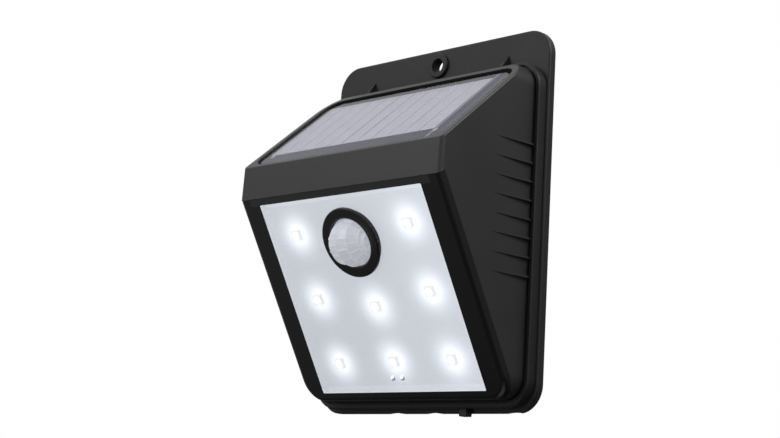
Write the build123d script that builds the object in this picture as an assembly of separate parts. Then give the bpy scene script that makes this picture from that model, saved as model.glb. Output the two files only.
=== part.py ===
from build123d import *
import math
import os

# Solar wall light with a motion sensor. Millimetres, +Z up, the wall is the plane y = 0 and the
# light stands out of it along -Y. Shapes are drawn about the middle of the back plate, and
# save() moves them so that the origin is the hanging hole's axis where it meets the wall.

# Back plate and its raised pedestal
PLATE_HALF = 48.0
PLATE_TOP = 62.0
PLATE_THICK = 3.0
PLATE_CORNER = 9.0
HOLE_Z = 56.2
HOLE_R = 2.5
HOLE_BOSS_R = 4.25
HOLE_BOSS_RISE = 1.0
PEDESTAL_HALF = 47.0
PEDESTAL_LOW = -60.6
PEDESTAL_HIGH = 50.4
LIP_Y = -6.6
LIP_THICK = 1.3
SEAT_Y = -5.4
REAR_WALL = 2.2
CAVITY_HALF = 42.6
CAVITY_MARGIN = 2.4
CAVITY_CORNER = 5.0
GUSSET_X = 30.5
GUSSET_TOP_Z = 54.7
GUSSET_HALF = 0.5
SADDLE_X = 24.0
STUD_R = 2.2
STUD_PILOT_R = 0.9
DRAIN_X = (-13, 4, 38)
LABEL_HALF = 26.0
LABEL_LOW = -30.0
LABEL_HIGH = 6.0
LABEL_DEPTH = 0.3
GASKET_HALF = 44.5
GASKET_INSET = 0.5
GASKET_WIDE = 1.0
GASKET_CORNER = 7.0

# Front housing, seen from the side as points (y, z)
BODY_HALF = 45.0
BODY_TOP = 49.0
BODY_BOTTOM = -58.4
BODY_CORNER = 7.5
SLOPE_START_Y = -9.7
BAND_TOP_Y = -48.7
BAND_TOP_Z = 16.15
SEAM_Y = -49.1
SEAM_Z = 4.9
FACE_TILT = 30.5
WALL = 2.2
BAND_WALL = 2.4
SLOPE_WALL = 4.6
FACE_WALL = 6.0
SOLAR_TILT = math.degrees(math.atan2(BODY_TOP - BAND_TOP_Z, SLOPE_START_Y - BAND_TOP_Y))

# Light window, as depths behind the sloping face and distances down it from the seam
FRAME_THICK = 2.6
SEAM_GAP = 0.15
OPENING_HALF = 36.2
OPENING_TOP = 2.4
OPENING_END = 70.8
OPENING_CORNER = 0.5
FRAME_EDGE_R = 2.0
REBATE_DEPTH = 0.7
REBATE_GROW = 1.2
REBATE_CORNER = 1.2
LENS_GAP = 0.1
TRAY_LIP = 0.2
TRAY_FLARE = 1.7
TRAY_CORNER = 1.0
LENS_BACK = 1.3
BOARD_THICK = 1.6
BOARD_HALF = 37.6
BOARD_TOP = 1.6
BOARD_END = 71.6
LED_SIZE = 3.5
LED_TALL = 1.25
LED_WELL_R = 1.35
LED_COLUMN = 24.9
LED_PLACES = [
    (-LED_COLUMN, 14.5), (LED_COLUMN, 14.5),
    (-LED_COLUMN, 37.4), (0, 41.2), (LED_COLUMN, 37.4),
    (-LED_COLUMN, 60.5), (0, 60.5), (LED_COLUMN, 60.5),
]
SOLDER_PLACES = (-3.3, 0.9)
SOLDER_S = 66.6
SOLDER_R = 0.9
SENSOR_S = 18.45
RING_R = 11.8
RING_BORE = 8.1
RING_RISE = 0.8
RING_SEAT = 0.1
BARREL_R = 10.5
DOME_R = 7.8
DOME_WALL = 0.5
DOME_BASE = 0.3
DOME_FLANGE_R = 9.8
DOME_FLANGE_THICK = 0.8
PIR_CAN_R = 4.1
PIR_CAN_TALL = 3.6
PIR_RIM_R = 4.6
PIR_FILTER_WIDE = 4.6
PIR_FILTER_TALL = 3.6
PIR_FILTER_THICK = 0.4
PIR_PIN_R = 0.25
PIR_PIN_PLACES = [(-1.27, -1.0), (1.27, -1.0), (0, 1.5)]

# Solar panel, as depths under the upper slope and distances up it from the band
RECESS_HALF = 42.5
RECESS_LOW = 1.4
RECESS_HIGH = 48.5
RECESS_DEPTH = 2.8
PANEL_HALF = 42.1
PANEL_LOW = 1.8
PANEL_HIGH = 47.1
PANEL_TOP = 0.6
PANEL_CORNER = 6.0
TAPE_WIDE = 4.0
CELL_LEFT = -40.2
CELL_RIGHT = 34.0
CELL_LOW = 9.6
CELL_HIGH = 44.6
CELL_COUNT = 11
CELL_GAP = 0.35
CELL_THICK = 0.25
CELL_TOP = 1.4
CELL_PITCH = (CELL_RIGHT - CELL_LEFT + CELL_GAP) / CELL_COUNT
CONTACT_R = 0.9
BACKING_BACK = 2.65

# Cooling fins on the housing's sides
FIN_COUNT = 8
FIN_TOP_Z = 22.1
FIN_PITCH = 6.05
FIN_THICK = 0.6
FIN_TIP_Y = -24.5
FIN_END_Y = -6.7
FIN_RISE = 1.1

# Inside
CELL_R = 9.2
CELL_LENGTH = 65.0
CELL_Y = -16.0
CELL_Z = 8.0
STRAP_WIDTH = 8.0
STRAP_FOOT_Y = -14.0
STRAP_POST_OFFSET = 13.5
PCB_HALF = 25.0
PCB_TOP = -10.0
PCB_LOW = -40.0
PCB_BACK_Y = -6.0
PCB_FRONT_Y = -7.6
WIRE_R = 0.6

# Fastenings
POST_PLACES = [(-37, 30), (37, 30), (-37, -44), (37, -44)]
POST_R = 3.4
SCREW_HOLE_R = 1.7
SCREW_SHANK_R = 1.45
SCREW_PILOT_R = 1.5
SCREW_HEAD_R = 2.8
SCREW_HEAD_Y = -3.2
COUNTERBORE_R = 3.1
SCREW_TIP_Y = -12.2
STANDOFF_PLACES = [(-22, -13), (22, -13), (-22, -37), (22, -37)]

# Slide switch
TRAVEL = 2.0
KNOB_X = 19.0
KNOB_WIDE = 3.0
KNOB_BACK_Y = -1.4
KNOB_FRONT_Y = -4.2
KNOB_LOW = -63.1
KNOB_HIGH = -59.0
SLOT_PLAY = 0.2
SWITCH_LOW = -55.9
SWITCH_HIGH = -52.3
SWITCH_BACK_Y = -2.4
SWITCH_FRONT_Y = -5.8
SWITCH_HALF = 4.3
STEM_Y = -3.4

tilt = math.radians(FACE_TILT)
solar = math.radians(SOLAR_TILT)
face_length = (SEAM_Z - BODY_BOTTOM) / math.cos(tilt)
BODY_PROFILE = [
    (SEAT_Y, BODY_TOP),
    (SLOPE_START_Y, BODY_TOP),
    (BAND_TOP_Y, BAND_TOP_Z),
    (SEAM_Y, SEAM_Z),
    (SEAM_Y + face_length * math.sin(tilt), BODY_BOTTOM),
    (SEAT_Y, BODY_BOTTOM),
]
# Local x is across, local y is up the slope and local z is out of the surface.
light_face = Plane((0, SEAM_Y, SEAM_Z), x_dir=(1, 0, 0), z_dir=(0, -math.cos(tilt), -math.sin(tilt)))
solar_face = Plane((0, BAND_TOP_Y, BAND_TOP_Z), x_dir=(1, 0, 0), z_dir=(0, -math.sin(solar), math.cos(solar)))

os.makedirs("parts", exist_ok=True)


def save(name, shape):
    export_step(Pos(0, 0, -HOLE_Z) * shape, f"parts/{name}.step")


def plate(half, low, high, corner, y_back, y_front):
    """A rounded rectangle parallel to the wall, from y_back out to y_front."""
    outline = Pos(0, (low + high) / 2) * RectangleRounded(2 * half, high - low, corner)
    return extrude(Plane.XZ.offset(-y_back) * outline, y_back - y_front)


def block(x0, x1, y0, y1, z0, z1):
    middle = Pos((x0 + x1) / 2, (y0 + y1) / 2, (z0 + z1) / 2)
    return middle * Box(abs(x1 - x0), abs(y1 - y0), abs(z1 - z0))


def rod(x, z, radius, y_back, y_front):
    """A cylinder square to the wall."""
    return extrude(Plane.XZ.offset(-y_back) * Pos(x, z) * Circle(radius), y_back - y_front)


def side_prism(points, half):
    """A side view drawn as (y, z) points, made solid across the width."""
    outline = make_face(Polyline([(0, y, z) for y, z in points], close=True))
    return extrude(outline, half, dir=(1, 0, 0), both=True)


def inset(points, distances):
    """Each side of an outline moved inwards by its own distance."""
    lines = []
    for i, distance in enumerate(distances):
        start = Vector(*points[i])
        along = (Vector(*points[(i + 1) % len(points)]) - start).normalized()
        lines.append((start + Vector(-along.Y, along.X) * distance, along))
    corners = []
    for i, (start, along) in enumerate(lines):
        before, back = lines[i - 1]
        gap = before - start
        step = (gap.X * back.Y - gap.Y * back.X) / (along.X * back.Y - along.Y * back.X)
        corner = start + along * step
        corners.append((corner.X, corner.Y))
    return corners


def face_slab(half, start, end, depth_front, depth_back, corner):
    """A rounded slab parallel to the light face. start and end are distances below the seam."""
    outline = RectangleRounded(2 * half, end - start, corner)
    place = light_face.location * Pos(0, -(start + end) / 2, -depth_back)
    return place * extrude(outline, depth_back - depth_front)


def face_rod(x, s, radius, depth_front, depth_back):
    place = light_face.location * Pos(x, -s, -depth_back)
    return place * extrude(Circle(radius), depth_back - depth_front)


def solar_slab(half, low, high, depth_front, depth_back, corner):
    """A rounded slab parallel to the upper slope. low and high are distances above the band."""
    outline = RectangleRounded(2 * half, high - low, corner)
    place = solar_face.location * Pos(0, (low + high) / 2, -depth_back)
    return place * extrude(outline, depth_back - depth_front)


def screw(x, z, head_y, tip_y, head_r, shank_r):
    """A pan-head screw driven from the wall side, with a cross slot in its head."""
    head = rod(x, z, head_r, head_y + 0.65 * head_r, head_y)
    head = fillet(head.edges().group_by(Axis.Y)[-1], 0.35 * head_r)
    top = head_y + 0.65 * head_r
    slot_half = 0.55 * head_r
    slot_wide = 0.13 * head_r
    head -= block(x - slot_half, x + slot_half, top + 1, top - 0.35 * head_r, z - slot_wide, z + slot_wide)
    head -= block(x - slot_wide, x + slot_wide, top + 1, top - 0.35 * head_r, z - slot_half, z + slot_half)
    shank = rod(x, z, shank_r, head_y, tip_y)
    shank = chamfer(shank.edges().group_by(Axis.Y)[0], 0.5 * shank_r)
    return head + shank


def wire(points, radius=WIRE_R):
    """A lead along straight runs joined by arcs as large as each pair of runs allows."""
    ends = [Vector(*p) for p in points]
    radii = []
    for a, b, c in zip(ends, ends[1:], ends[2:]):
        turn = math.radians((b - a).get_angle(c - b))
        shorter = min((b - a).length, (c - b).length)
        radii.append(0.45 * shorter / math.tan(turn / 2))
    path = FilletPolyline(*points, radius=radii)
    section = Plane(path @ 0, z_dir=path % 0) * Circle(radius)
    lead = sweep(section, path)
    print("lead radii", [round(r, 1) for r in radii], "volume ratio",
          round(lead.volume / (math.pi * radius**2 * path.length), 4))
    return lead


# ---------------------------------------------------------------- back cover
def drain_notch(x, width=7.0, depth=0.35):
    radius = (width**2 / 4 + depth**2) / (2 * depth)
    return rod(x, -PLATE_TOP + depth - radius, radius, 1, -PLATE_THICK - 1)


def battery_saddle(x, half=1.0):
    saddle = block(x - half, x + half, -REAR_WALL, CELL_Y + 3, CELL_Z - 11, CELL_Z + 11)
    bed = Pos(x, CELL_Y, CELL_Z) * Rot(0, 90, 0) * Cylinder(CELL_R, 4)
    return saddle - bed


def make_back_cover():
    cover = plate(PLATE_HALF, -PLATE_TOP, PLATE_TOP, PLATE_CORNER, 0, -PLATE_THICK)
    cover = fillet(cover.edges().group_by(Axis.Y)[0], 0.8)
    cover = fillet(cover.edges().group_by(Axis.Y)[-1], 0.3)
    pedestal = plate(PEDESTAL_HALF, PEDESTAL_LOW, PEDESTAL_HIGH, PLATE_CORNER, -1, LIP_Y)
    cover += fillet(pedestal.edges().group_by(Axis.Y)[0], 0.5)
    lip_in = PEDESTAL_HALF - LIP_THICK
    cover -= plate(lip_in, PEDESTAL_LOW + 1.5, PEDESTAL_HIGH - 0.9, PLATE_CORNER - LIP_THICK,
                   SEAT_Y, LIP_Y - 1)
    cover -= plate(CAVITY_HALF, BODY_BOTTOM + CAVITY_MARGIN, BODY_TOP - CAVITY_MARGIN, CAVITY_CORNER,
                   -REAR_WALL, LIP_Y - 1)
    cover -= make_gasket()
    # The hanging hole stands in a low round boss between two small gussets.
    boss = rod(0, HOLE_Z, HOLE_BOSS_R, -1, -PLATE_THICK - HOLE_BOSS_RISE)
    cover += fillet(boss.edges().group_by(Axis.Y)[0], 0.4)
    for x in (-GUSSET_X, GUSSET_X):
        gusset = [(-PLATE_THICK + 0.5, PEDESTAL_HIGH - 1), (LIP_Y + 0.1, PEDESTAL_HIGH - 1),
                  (LIP_Y + 0.1, PEDESTAL_HIGH), (-PLATE_THICK, GUSSET_TOP_Z),
                  (-PLATE_THICK + 0.5, GUSSET_TOP_Z)]
        cover += Pos(x, 0, 0) * side_prism(gusset, GUSSET_HALF)
    for x, z in POST_PLACES:
        cover += rod(x, z, POST_R + 0.4, -1, SEAT_Y)
    for x, z in STANDOFF_PLACES:
        cover += rod(x, z, STUD_R, -1, PCB_BACK_Y)
        cover -= rod(x, z, STUD_PILOT_R, -REAR_WALL, PCB_BACK_Y)
    for x in (-SADDLE_X, SADDLE_X):
        cover += battery_saddle(x)
    for side in (-1, 1):
        z = CELL_Z + side * STRAP_POST_OFFSET
        cover += rod(0, z, 2.4, -1, STRAP_FOOT_Y)
        cover -= rod(0, z, STUD_PILOT_R, -REAR_WALL, STRAP_FOOT_Y)
    middle = KNOB_X + TRAVEL / 2
    for side in (-1, 1):
        inner = middle + side * (SWITCH_HALF + 0.05)
        cover += block(inner, inner + side * 1.2, -1, SWITCH_FRONT_Y, SWITCH_LOW - 0.2, SWITCH_HIGH)
    # The knob's slot runs through the bottom edge of the plate and the pedestal.
    slot_half = (KNOB_WIDE + TRAVEL) / 2 + SLOT_PLAY
    cover -= block(middle - slot_half, middle + slot_half, KNOB_BACK_Y + SLOT_PLAY,
                   KNOB_FRONT_Y - SLOT_PLAY, -PLATE_TOP - 1, SWITCH_LOW)
    cover -= rod(0, HOLE_Z, HOLE_R, 1, -PLATE_THICK - 2)
    for x, z in POST_PLACES:
        cover -= rod(x, z, SCREW_HOLE_R, 1, SEAT_Y - 1)
        cover -= rod(x, z, COUNTERBORE_R, 1, SCREW_HEAD_Y)
    for x in DRAIN_X:
        cover -= drain_notch(x)
    # A shallow recess in the back takes a label.
    cover -= plate(LABEL_HALF, LABEL_LOW, LABEL_HIGH, 2, 1, -LABEL_DEPTH)
    return cover


def make_gasket():
    """A square-section sealing ring that lies in a channel in the seat."""
    low = BODY_BOTTOM + GASKET_INSET
    high = BODY_TOP - GASKET_INSET
    wide = GASKET_WIDE
    outer = plate(GASKET_HALF, low, high, GASKET_CORNER, SEAT_Y + 1.0, SEAT_Y)
    return outer - plate(GASKET_HALF - wide, low + wide, high - wide, GASKET_CORNER - wide,
                         SEAT_Y + 2, SEAT_Y - 1)


# ---------------------------------------------------------------- front housing and frame
def body_solid(half, inset_by, corner, points):
    outline = plate(half, BODY_BOTTOM + inset_by, BODY_TOP - inset_by, corner, 1, -60)
    return side_prism(points, half) & outline


def front_side_edges(shape, half, y_limit):
    """The long edges on both sides that run up the front of the body."""
    found = []
    for edge in shape.edges():
        middle = edge @ 0.5
        on_side = abs(abs(middle.X) - half) < 0.01
        if on_side and middle.Y < y_limit:
            found.append(edge)
    return found


def make_body():
    body = body_solid(BODY_HALF, 0, BODY_CORNER, BODY_PROFILE)
    sides = front_side_edges(body, BODY_HALF, -9)
    band_and_face = [e for e in sides if (e @ 0.5).Z < BAND_TOP_Z - 1]
    body = fillet(band_and_face, 1.6)
    rim = []
    for edge in body.edges():
        middle = edge @ 0.5
        on_slope = abs(solar_face.to_local_coords(middle).Z) < 0.02
        if on_slope and edge.length > 1 and middle.Z > BAND_TOP_Z - 0.5:
            rim.append(edge)
    return fillet(rim, 0.6)


def peg_places():
    for side in (-1, 1):
        for s in (12, 36, 60):
            yield side * 41.0, s


def make_front_housing():
    body = make_body()
    shell = body - body_solid(BODY_HALF - WALL, WALL, BODY_CORNER - WALL,
                              inset(BODY_PROFILE, [WALL, SLOPE_WALL, BAND_WALL, FACE_WALL, WALL, -1]))
    for x, z in POST_PLACES:
        side = math.copysign(1, x)
        post = rod(x, z, POST_R, SEAT_Y, -45)
        post += block(x, side * (BODY_HALF - 1), SEAT_Y, -45, z - 0.6, z + 0.6)
        shell += post & body
    shell -= solar_slab(RECESS_HALF, RECESS_LOW, RECESS_HIGH, -5, RECESS_DEPTH, 6.4)
    shell -= solar_slab(12, 20, 30, 0, SLOPE_WALL + 1, 2)
    # The frame replaces the outermost layer below the seam, and the board lies in a recess behind it.
    shell -= face_slab(BODY_HALF + 5, 0, face_length + 20, -5, FRAME_THICK, 1)
    shell -= face_slab(BOARD_HALF + 0.4, 1.2, 72.0, FRAME_THICK - 1, FRAME_THICK + BOARD_THICK, 1.5)
    shell -= face_slab(33.5, 6, 67, FRAME_THICK, FACE_WALL + 1, 2)
    for x, s in peg_places():
        shell -= face_rod(x, s, 1.05, FRAME_THICK - 1, FRAME_THICK + 2.5)
    for x, z in POST_PLACES:
        shell -= rod(x, z, SCREW_PILOT_R, SEAT_Y + 1, SCREW_TIP_Y - 0.8)
    for side in (-1, 1):
        for i in range(FIN_COUNT):
            shell += make_fin(side, FIN_TOP_Z - i * FIN_PITCH)
    return shell


def make_fin(side, z):
    x0 = side * (BODY_HALF - 0.3)
    outline = make_face(Polyline((x0, FIN_TIP_Y, z), (side * BODY_HALF, FIN_TIP_Y, z),
                                 (side * (BODY_HALF + FIN_RISE), FIN_END_Y - 1.2, z),
                                 (side * (BODY_HALF + FIN_RISE - 0.3), FIN_END_Y, z),
                                 (x0, FIN_END_Y, z), close=True))
    return extrude(outline, FIN_THICK / 2, dir=(0, 0, 1), both=True)


def make_front_frame():
    body = body_solid(BODY_HALF, 0, BODY_CORNER, BODY_PROFILE)
    frame = body & face_slab(BODY_HALF + 5, SEAM_GAP, face_length + 20, -5, FRAME_THICK, 0.05)
    front = []
    for edge in frame.edges():
        place = light_face.to_local_coords(edge @ 0.5)
        if abs(place.Z) < 0.01 and place.Y < -2:
            front.append(edge)
    frame = fillet(front, FRAME_EDGE_R)
    frame -= face_slab(OPENING_HALF, OPENING_TOP, OPENING_END, -5, REBATE_DEPTH, OPENING_CORNER)
    frame -= face_slab(OPENING_HALF + REBATE_GROW, OPENING_TOP - 1.0, OPENING_END + 1.0,
                       REBATE_DEPTH, FRAME_THICK + 1, REBATE_CORNER)
    for x, s in peg_places():
        frame += face_rod(x, s, 1.0, FRAME_THICK - 0.5, FRAME_THICK + 2.4)
    return frame


# ---------------------------------------------------------------- light window
def make_window_lens():
    """A clear sheet with a step round its edge, so that it fills the frame's opening."""
    lens = face_slab(OPENING_HALF - LENS_GAP, OPENING_TOP + LENS_GAP, OPENING_END - LENS_GAP,
                     0.1, REBATE_DEPTH, OPENING_CORNER - LENS_GAP)
    lens += face_slab(OPENING_HALF + 1.0, OPENING_TOP - 0.8, OPENING_END + 0.8,
                      REBATE_DEPTH, LENS_BACK, REBATE_CORNER - LENS_GAP)
    return lens - face_rod(0, SENSOR_S, BARREL_R + LENS_GAP, -1, LENS_BACK + 1)


def make_reflector_tray():
    """A thin white surround whose walls flare outwards from the board to the lens."""
    tray = face_slab(OPENING_HALF + 1.0, OPENING_TOP - 0.8, OPENING_END + 0.8,
                     LENS_BACK, FRAME_THICK, REBATE_CORNER - LENS_GAP)
    wide = light_face.location * Pos(0, -(OPENING_TOP + OPENING_END) / 2, -LENS_BACK)
    narrow = light_face.location * Pos(0, -(OPENING_TOP + OPENING_END) / 2, -FRAME_THICK)
    half = OPENING_HALF - TRAY_LIP
    half_tall = (OPENING_END - OPENING_TOP) / 2 - TRAY_LIP
    floor_half = OPENING_HALF - TRAY_FLARE
    floor_tall = (OPENING_END - OPENING_TOP) / 2 - TRAY_FLARE
    mouth = wide * RectangleRounded(2 * half, 2 * half_tall, TRAY_CORNER)
    floor = narrow * RectangleRounded(2 * floor_half, 2 * floor_tall, TRAY_CORNER)
    return tray - loft([mouth, floor])


def make_led_board():
    board = face_slab(BOARD_HALF, BOARD_TOP, BOARD_END, FRAME_THICK, FRAME_THICK + BOARD_THICK, 1.0)
    for x, s in PIR_PIN_PLACES:
        board -= face_rod(x, SENSOR_S + s, PIR_PIN_R + 0.1, FRAME_THICK - 1, FRAME_THICK + 3)
    return board


def make_leds():
    """Square white packages, each with a round well for its phosphor."""
    packages = []
    phosphors = []
    top = FRAME_THICK - LED_TALL
    for x, s in LED_PLACES:
        place = light_face.location * Pos(x, -s, -FRAME_THICK)
        package = place * extrude(RectangleRounded(LED_SIZE, LED_SIZE, 0.3), FRAME_THICK - top)
        well = face_rod(x, s, LED_WELL_R, top - 0.5, top + 0.5)
        packages.append(package - well)
        phosphors.append(face_rod(x, s, LED_WELL_R, top + 0.08, top + 0.5))
    return Compound(children=packages), Compound(children=phosphors)


def make_solder_marks():
    marks = []
    for x in SOLDER_PLACES:
        dome = light_face.location * Pos(x, -SOLDER_S, -FRAME_THICK) * Sphere(SOLDER_R)
        below = face_slab(BOARD_HALF, 1, 72, FRAME_THICK, FRAME_THICK + 3, 1)
        marks.append(dome - below)
    return Compound(children=marks)


def make_board_parts():
    """A driver transistor and two resistors on the back of the light board."""
    back = FRAME_THICK + BOARD_THICK
    parts = []
    transistor = (-14, 50, 3.0, 2.6, 1.1)
    resistor_one = (-6, 50, 3.2, 1.6, 0.6)
    resistor_two = (-6, 54, 3.2, 1.6, 0.6)
    for x, s, wide, tall, thick in (transistor, resistor_one, resistor_two):
        place = light_face.location * Pos(x, -s, -back - thick)
        parts.append(place * extrude(RectangleRounded(wide, tall, 0.1), thick))
    return Compound(children=parts)


# ---------------------------------------------------------------- motion sensor
def make_sensor_ring():
    """A flange that rests on the lens, on a barrel that goes through it to the board."""
    ring = face_rod(0, SENSOR_S, RING_R, -RING_RISE, RING_SEAT)
    ring = fillet(ring.edges().filter_by(GeomType.CIRCLE).sort_by(Axis.Y)[0:1], 0.5)
    ring += face_rod(0, SENSOR_S, BARREL_R, 0, FRAME_THICK)
    ring -= face_rod(0, SENSOR_S, DOME_FLANGE_R + 0.1, DOME_BASE, FRAME_THICK + 1)
    bore = face_rod(0, SENSOR_S, RING_BORE, -RING_RISE - 1, FRAME_THICK)
    ring -= bore
    mouth = [e for e in ring.edges().filter_by(GeomType.CIRCLE)
             if abs(e.radius - RING_BORE) < 0.01 and light_face.to_local_coords(e @ 0.5).Z > 0]
    return chamfer(mouth, 0.5)


def make_sensor_dome():
    place = light_face.location * Pos(0, -SENSOR_S, -DOME_BASE)
    dome = place * Sphere(DOME_R) - place * Sphere(DOME_R - DOME_WALL)
    dome -= face_slab(20, SENSOR_S - 20, SENSOR_S + 20, DOME_BASE, DOME_BASE + 20, 1)
    flange = face_rod(0, SENSOR_S, DOME_FLANGE_R, DOME_BASE, DOME_BASE + DOME_FLANGE_THICK)
    return dome + (flange - face_rod(0, SENSOR_S, DOME_R - DOME_WALL, DOME_BASE - 1, DOME_BASE + 2))


def make_pir_sensor():
    """A round metal can on the board with a dark filter in its end and three pins."""
    top = FRAME_THICK - PIR_CAN_TALL
    can = face_rod(0, SENSOR_S, PIR_CAN_R, top, FRAME_THICK)
    can += face_rod(0, SENSOR_S, PIR_RIM_R, FRAME_THICK - 0.4, FRAME_THICK)
    place = light_face.location * Pos(0, -SENSOR_S, -top - PIR_FILTER_THICK)
    glass = place * extrude(RectangleRounded(PIR_FILTER_WIDE, PIR_FILTER_TALL, 0.4), PIR_FILTER_THICK)
    pins = [face_rod(x, SENSOR_S + s, PIR_PIN_R, FRAME_THICK, FRAME_THICK + 3) for x, s in PIR_PIN_PLACES]
    return can - glass, glass, Compound(children=pins)


# ---------------------------------------------------------------- solar panel
def make_cells():
    strips = []
    for i in range(CELL_COUNT):
        middle = CELL_LEFT + CELL_PITCH * (i + 0.5) - CELL_GAP / 2
        place = solar_face.location * Pos(middle, (CELL_LOW + CELL_HIGH) / 2, -CELL_TOP - CELL_THICK)
        strips.append(place * extrude(Rectangle(CELL_PITCH - CELL_GAP, CELL_HIGH - CELL_LOW), CELL_THICK))
    return strips


def make_ribbons():
    """Tinned ribbons that join each strip of cell to the next, at alternate ends."""
    ribbons = []
    for i in range(CELL_COUNT - 1):
        joint = CELL_LEFT + CELL_PITCH * (i + 1) - CELL_GAP / 2
        s = CELL_HIGH + 0.7 if i % 2 else CELL_LOW - 0.7
        place = solar_face.location * Pos(joint, s, -CELL_TOP - CELL_THICK)
        ribbons.append(place * extrude(Rectangle(CELL_PITCH, 1.0), CELL_THICK))
    return ribbons


def make_solar_dots():
    dots = []
    for x in (CELL_LEFT + 2, CELL_RIGHT + 1.4):
        place = solar_face.location * Pos(x, CELL_LOW - 1.2, -CELL_TOP - CELL_THICK)
        dots.append(place * extrude(Circle(CONTACT_R), CELL_THICK))
    return dots


def make_solar_cover(embedded):
    cover = solar_slab(PANEL_HALF, PANEL_LOW, PANEL_HIGH, PANEL_TOP, CELL_TOP + CELL_THICK, PANEL_CORNER)
    for piece in embedded:
        cover -= piece
    return cover


def make_solar_backing():
    return solar_slab(PANEL_HALF, PANEL_LOW, PANEL_HIGH, CELL_TOP + CELL_THICK, BACKING_BACK, PANEL_CORNER)


def make_solar_tape():
    tape = solar_slab(PANEL_HALF, PANEL_LOW, PANEL_HIGH, BACKING_BACK, RECESS_DEPTH, PANEL_CORNER)
    return tape - solar_slab(PANEL_HALF - TAPE_WIDE, PANEL_LOW + TAPE_WIDE, PANEL_HIGH - TAPE_WIDE, 0, 5, 3.0)


# ---------------------------------------------------------------- battery
def along_x(radius, length, x=0.0):
    return Pos(x, CELL_Y, CELL_Z) * Rot(0, 90, 0) * Cylinder(radius, length)


def make_battery():
    cell = along_x(CELL_R, CELL_LENGTH)
    cell = fillet(cell.edges().filter_by(GeomType.CIRCLE), 0.8)
    return cell


def make_battery_tabs():
    tabs = []
    for side in (-1, 1):
        x = side * CELL_LENGTH / 2
        tabs.append(block(x, x + side * 0.3, CELL_Y - 2.5, CELL_Y + 2.5, CELL_Z - 10, CELL_Z + 4))
    return Compound(children=tabs)


def make_battery_strap():
    half = STRAP_WIDTH / 2
    ring = along_x(CELL_R + 1.4, STRAP_WIDTH) & block(-half, half, STRAP_FOOT_Y, -40, -20, 40)
    for side in (-1, 1):
        z0 = CELL_Z + side * (CELL_R - 1)
        z1 = CELL_Z + side * (STRAP_POST_OFFSET + 3)
        ring += block(-half, half, STRAP_FOOT_Y, STRAP_FOOT_Y - 1.4, z0, z1)
    ring -= along_x(CELL_R, STRAP_WIDTH + 2)
    for side in (-1, 1):
        ring -= rod(0, CELL_Z + side * STRAP_POST_OFFSET, 1.2, STRAP_FOOT_Y + 1, STRAP_FOOT_Y - 3)
    return ring


def small_screw(x, z, seat_y, length):
    """A small pan-head screw driven towards the wall, its head out along -Y."""
    head = rod(x, z, 1.9, seat_y, seat_y - 1.2)
    head = fillet(head.edges().group_by(Axis.Y)[0], 0.6)
    head -= block(x - 1.1, x + 1.1, seat_y - 0.6, seat_y - 2, z - 0.25, z + 0.25)
    head -= block(x - 0.25, x + 0.25, seat_y - 0.6, seat_y - 2, z - 1.1, z + 1.1)
    return head + rod(x, z, 0.85, seat_y + length, seat_y)


# ---------------------------------------------------------------- control board
def make_control_board():
    board = block(-PCB_HALF, PCB_HALF, PCB_BACK_Y, PCB_FRONT_Y, PCB_LOW, PCB_TOP)
    for x, z in STANDOFF_PLACES:
        board -= rod(x, z, 1.0, PCB_BACK_Y + 1, PCB_FRONT_Y - 1)
    return board


def make_control_chip():
    body = block(-2.5, 2.5, PCB_FRONT_Y - 0.1, PCB_FRONT_Y - 1.6, -27, -23)
    body = chamfer(body.edges().group_by(Axis.Y)[0], 0.25)
    pins = []
    for side in (-1, 1):
        for i in range(4):
            x = -1.9 + 1.27 * i
            z = -25 + side * 2
            pins.append(block(x - 0.2, x + 0.2, PCB_FRONT_Y, PCB_FRONT_Y - 0.9, z, z + side * 1.0))
    return body, Compound(children=pins)


def make_capacitors():
    cans = []
    for x, z in ((-12, -19), (-12, -30)):
        can = rod(x, z, 3.0, PCB_FRONT_Y, PCB_FRONT_Y - 5.5)
        cans.append(fillet(can.edges().group_by(Axis.Y)[0], 0.4))
    return Compound(children=cans)


def make_resistors():
    chips = []
    for i in range(6):
        x = 8 + 3.5 * (i % 3)
        z = -21 - 5 * (i // 3)
        chips.append(block(x - 0.6, x + 0.6, PCB_FRONT_Y, PCB_FRONT_Y - 0.5, z - 1.0, z + 1.0))
    return Compound(children=chips)


# ---------------------------------------------------------------- slide switch
def make_switch_case():
    middle = KNOB_X + TRAVEL / 2
    case = block(middle - SWITCH_HALF, middle + SWITCH_HALF, SWITCH_BACK_Y, SWITCH_FRONT_Y,
                 SWITCH_LOW, SWITCH_HIGH)
    case -= block(middle - 2.9, middle + 2.9, SWITCH_BACK_Y - 0.5, SWITCH_FRONT_Y + 0.5,
                  SWITCH_LOW + 0.4, SWITCH_HIGH - 0.8)
    case -= block(middle - 2.0, middle + 2.0, STEM_Y + 0.9, STEM_Y - 0.9, SWITCH_LOW - 1, SWITCH_LOW + 1)
    return case


def make_switch_slider():
    slider = block(KNOB_X - 1.7, KNOB_X + 1.7, SWITCH_BACK_Y - 0.6, SWITCH_FRONT_Y + 0.6,
                   SWITCH_LOW + 0.5, SWITCH_HIGH - 0.9)
    stem = block(KNOB_X - 0.8, KNOB_X + 0.8, STEM_Y + 0.7, STEM_Y - 0.7, KNOB_HIGH - 1.8, SWITCH_LOW + 0.6)
    return slider + stem


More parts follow.
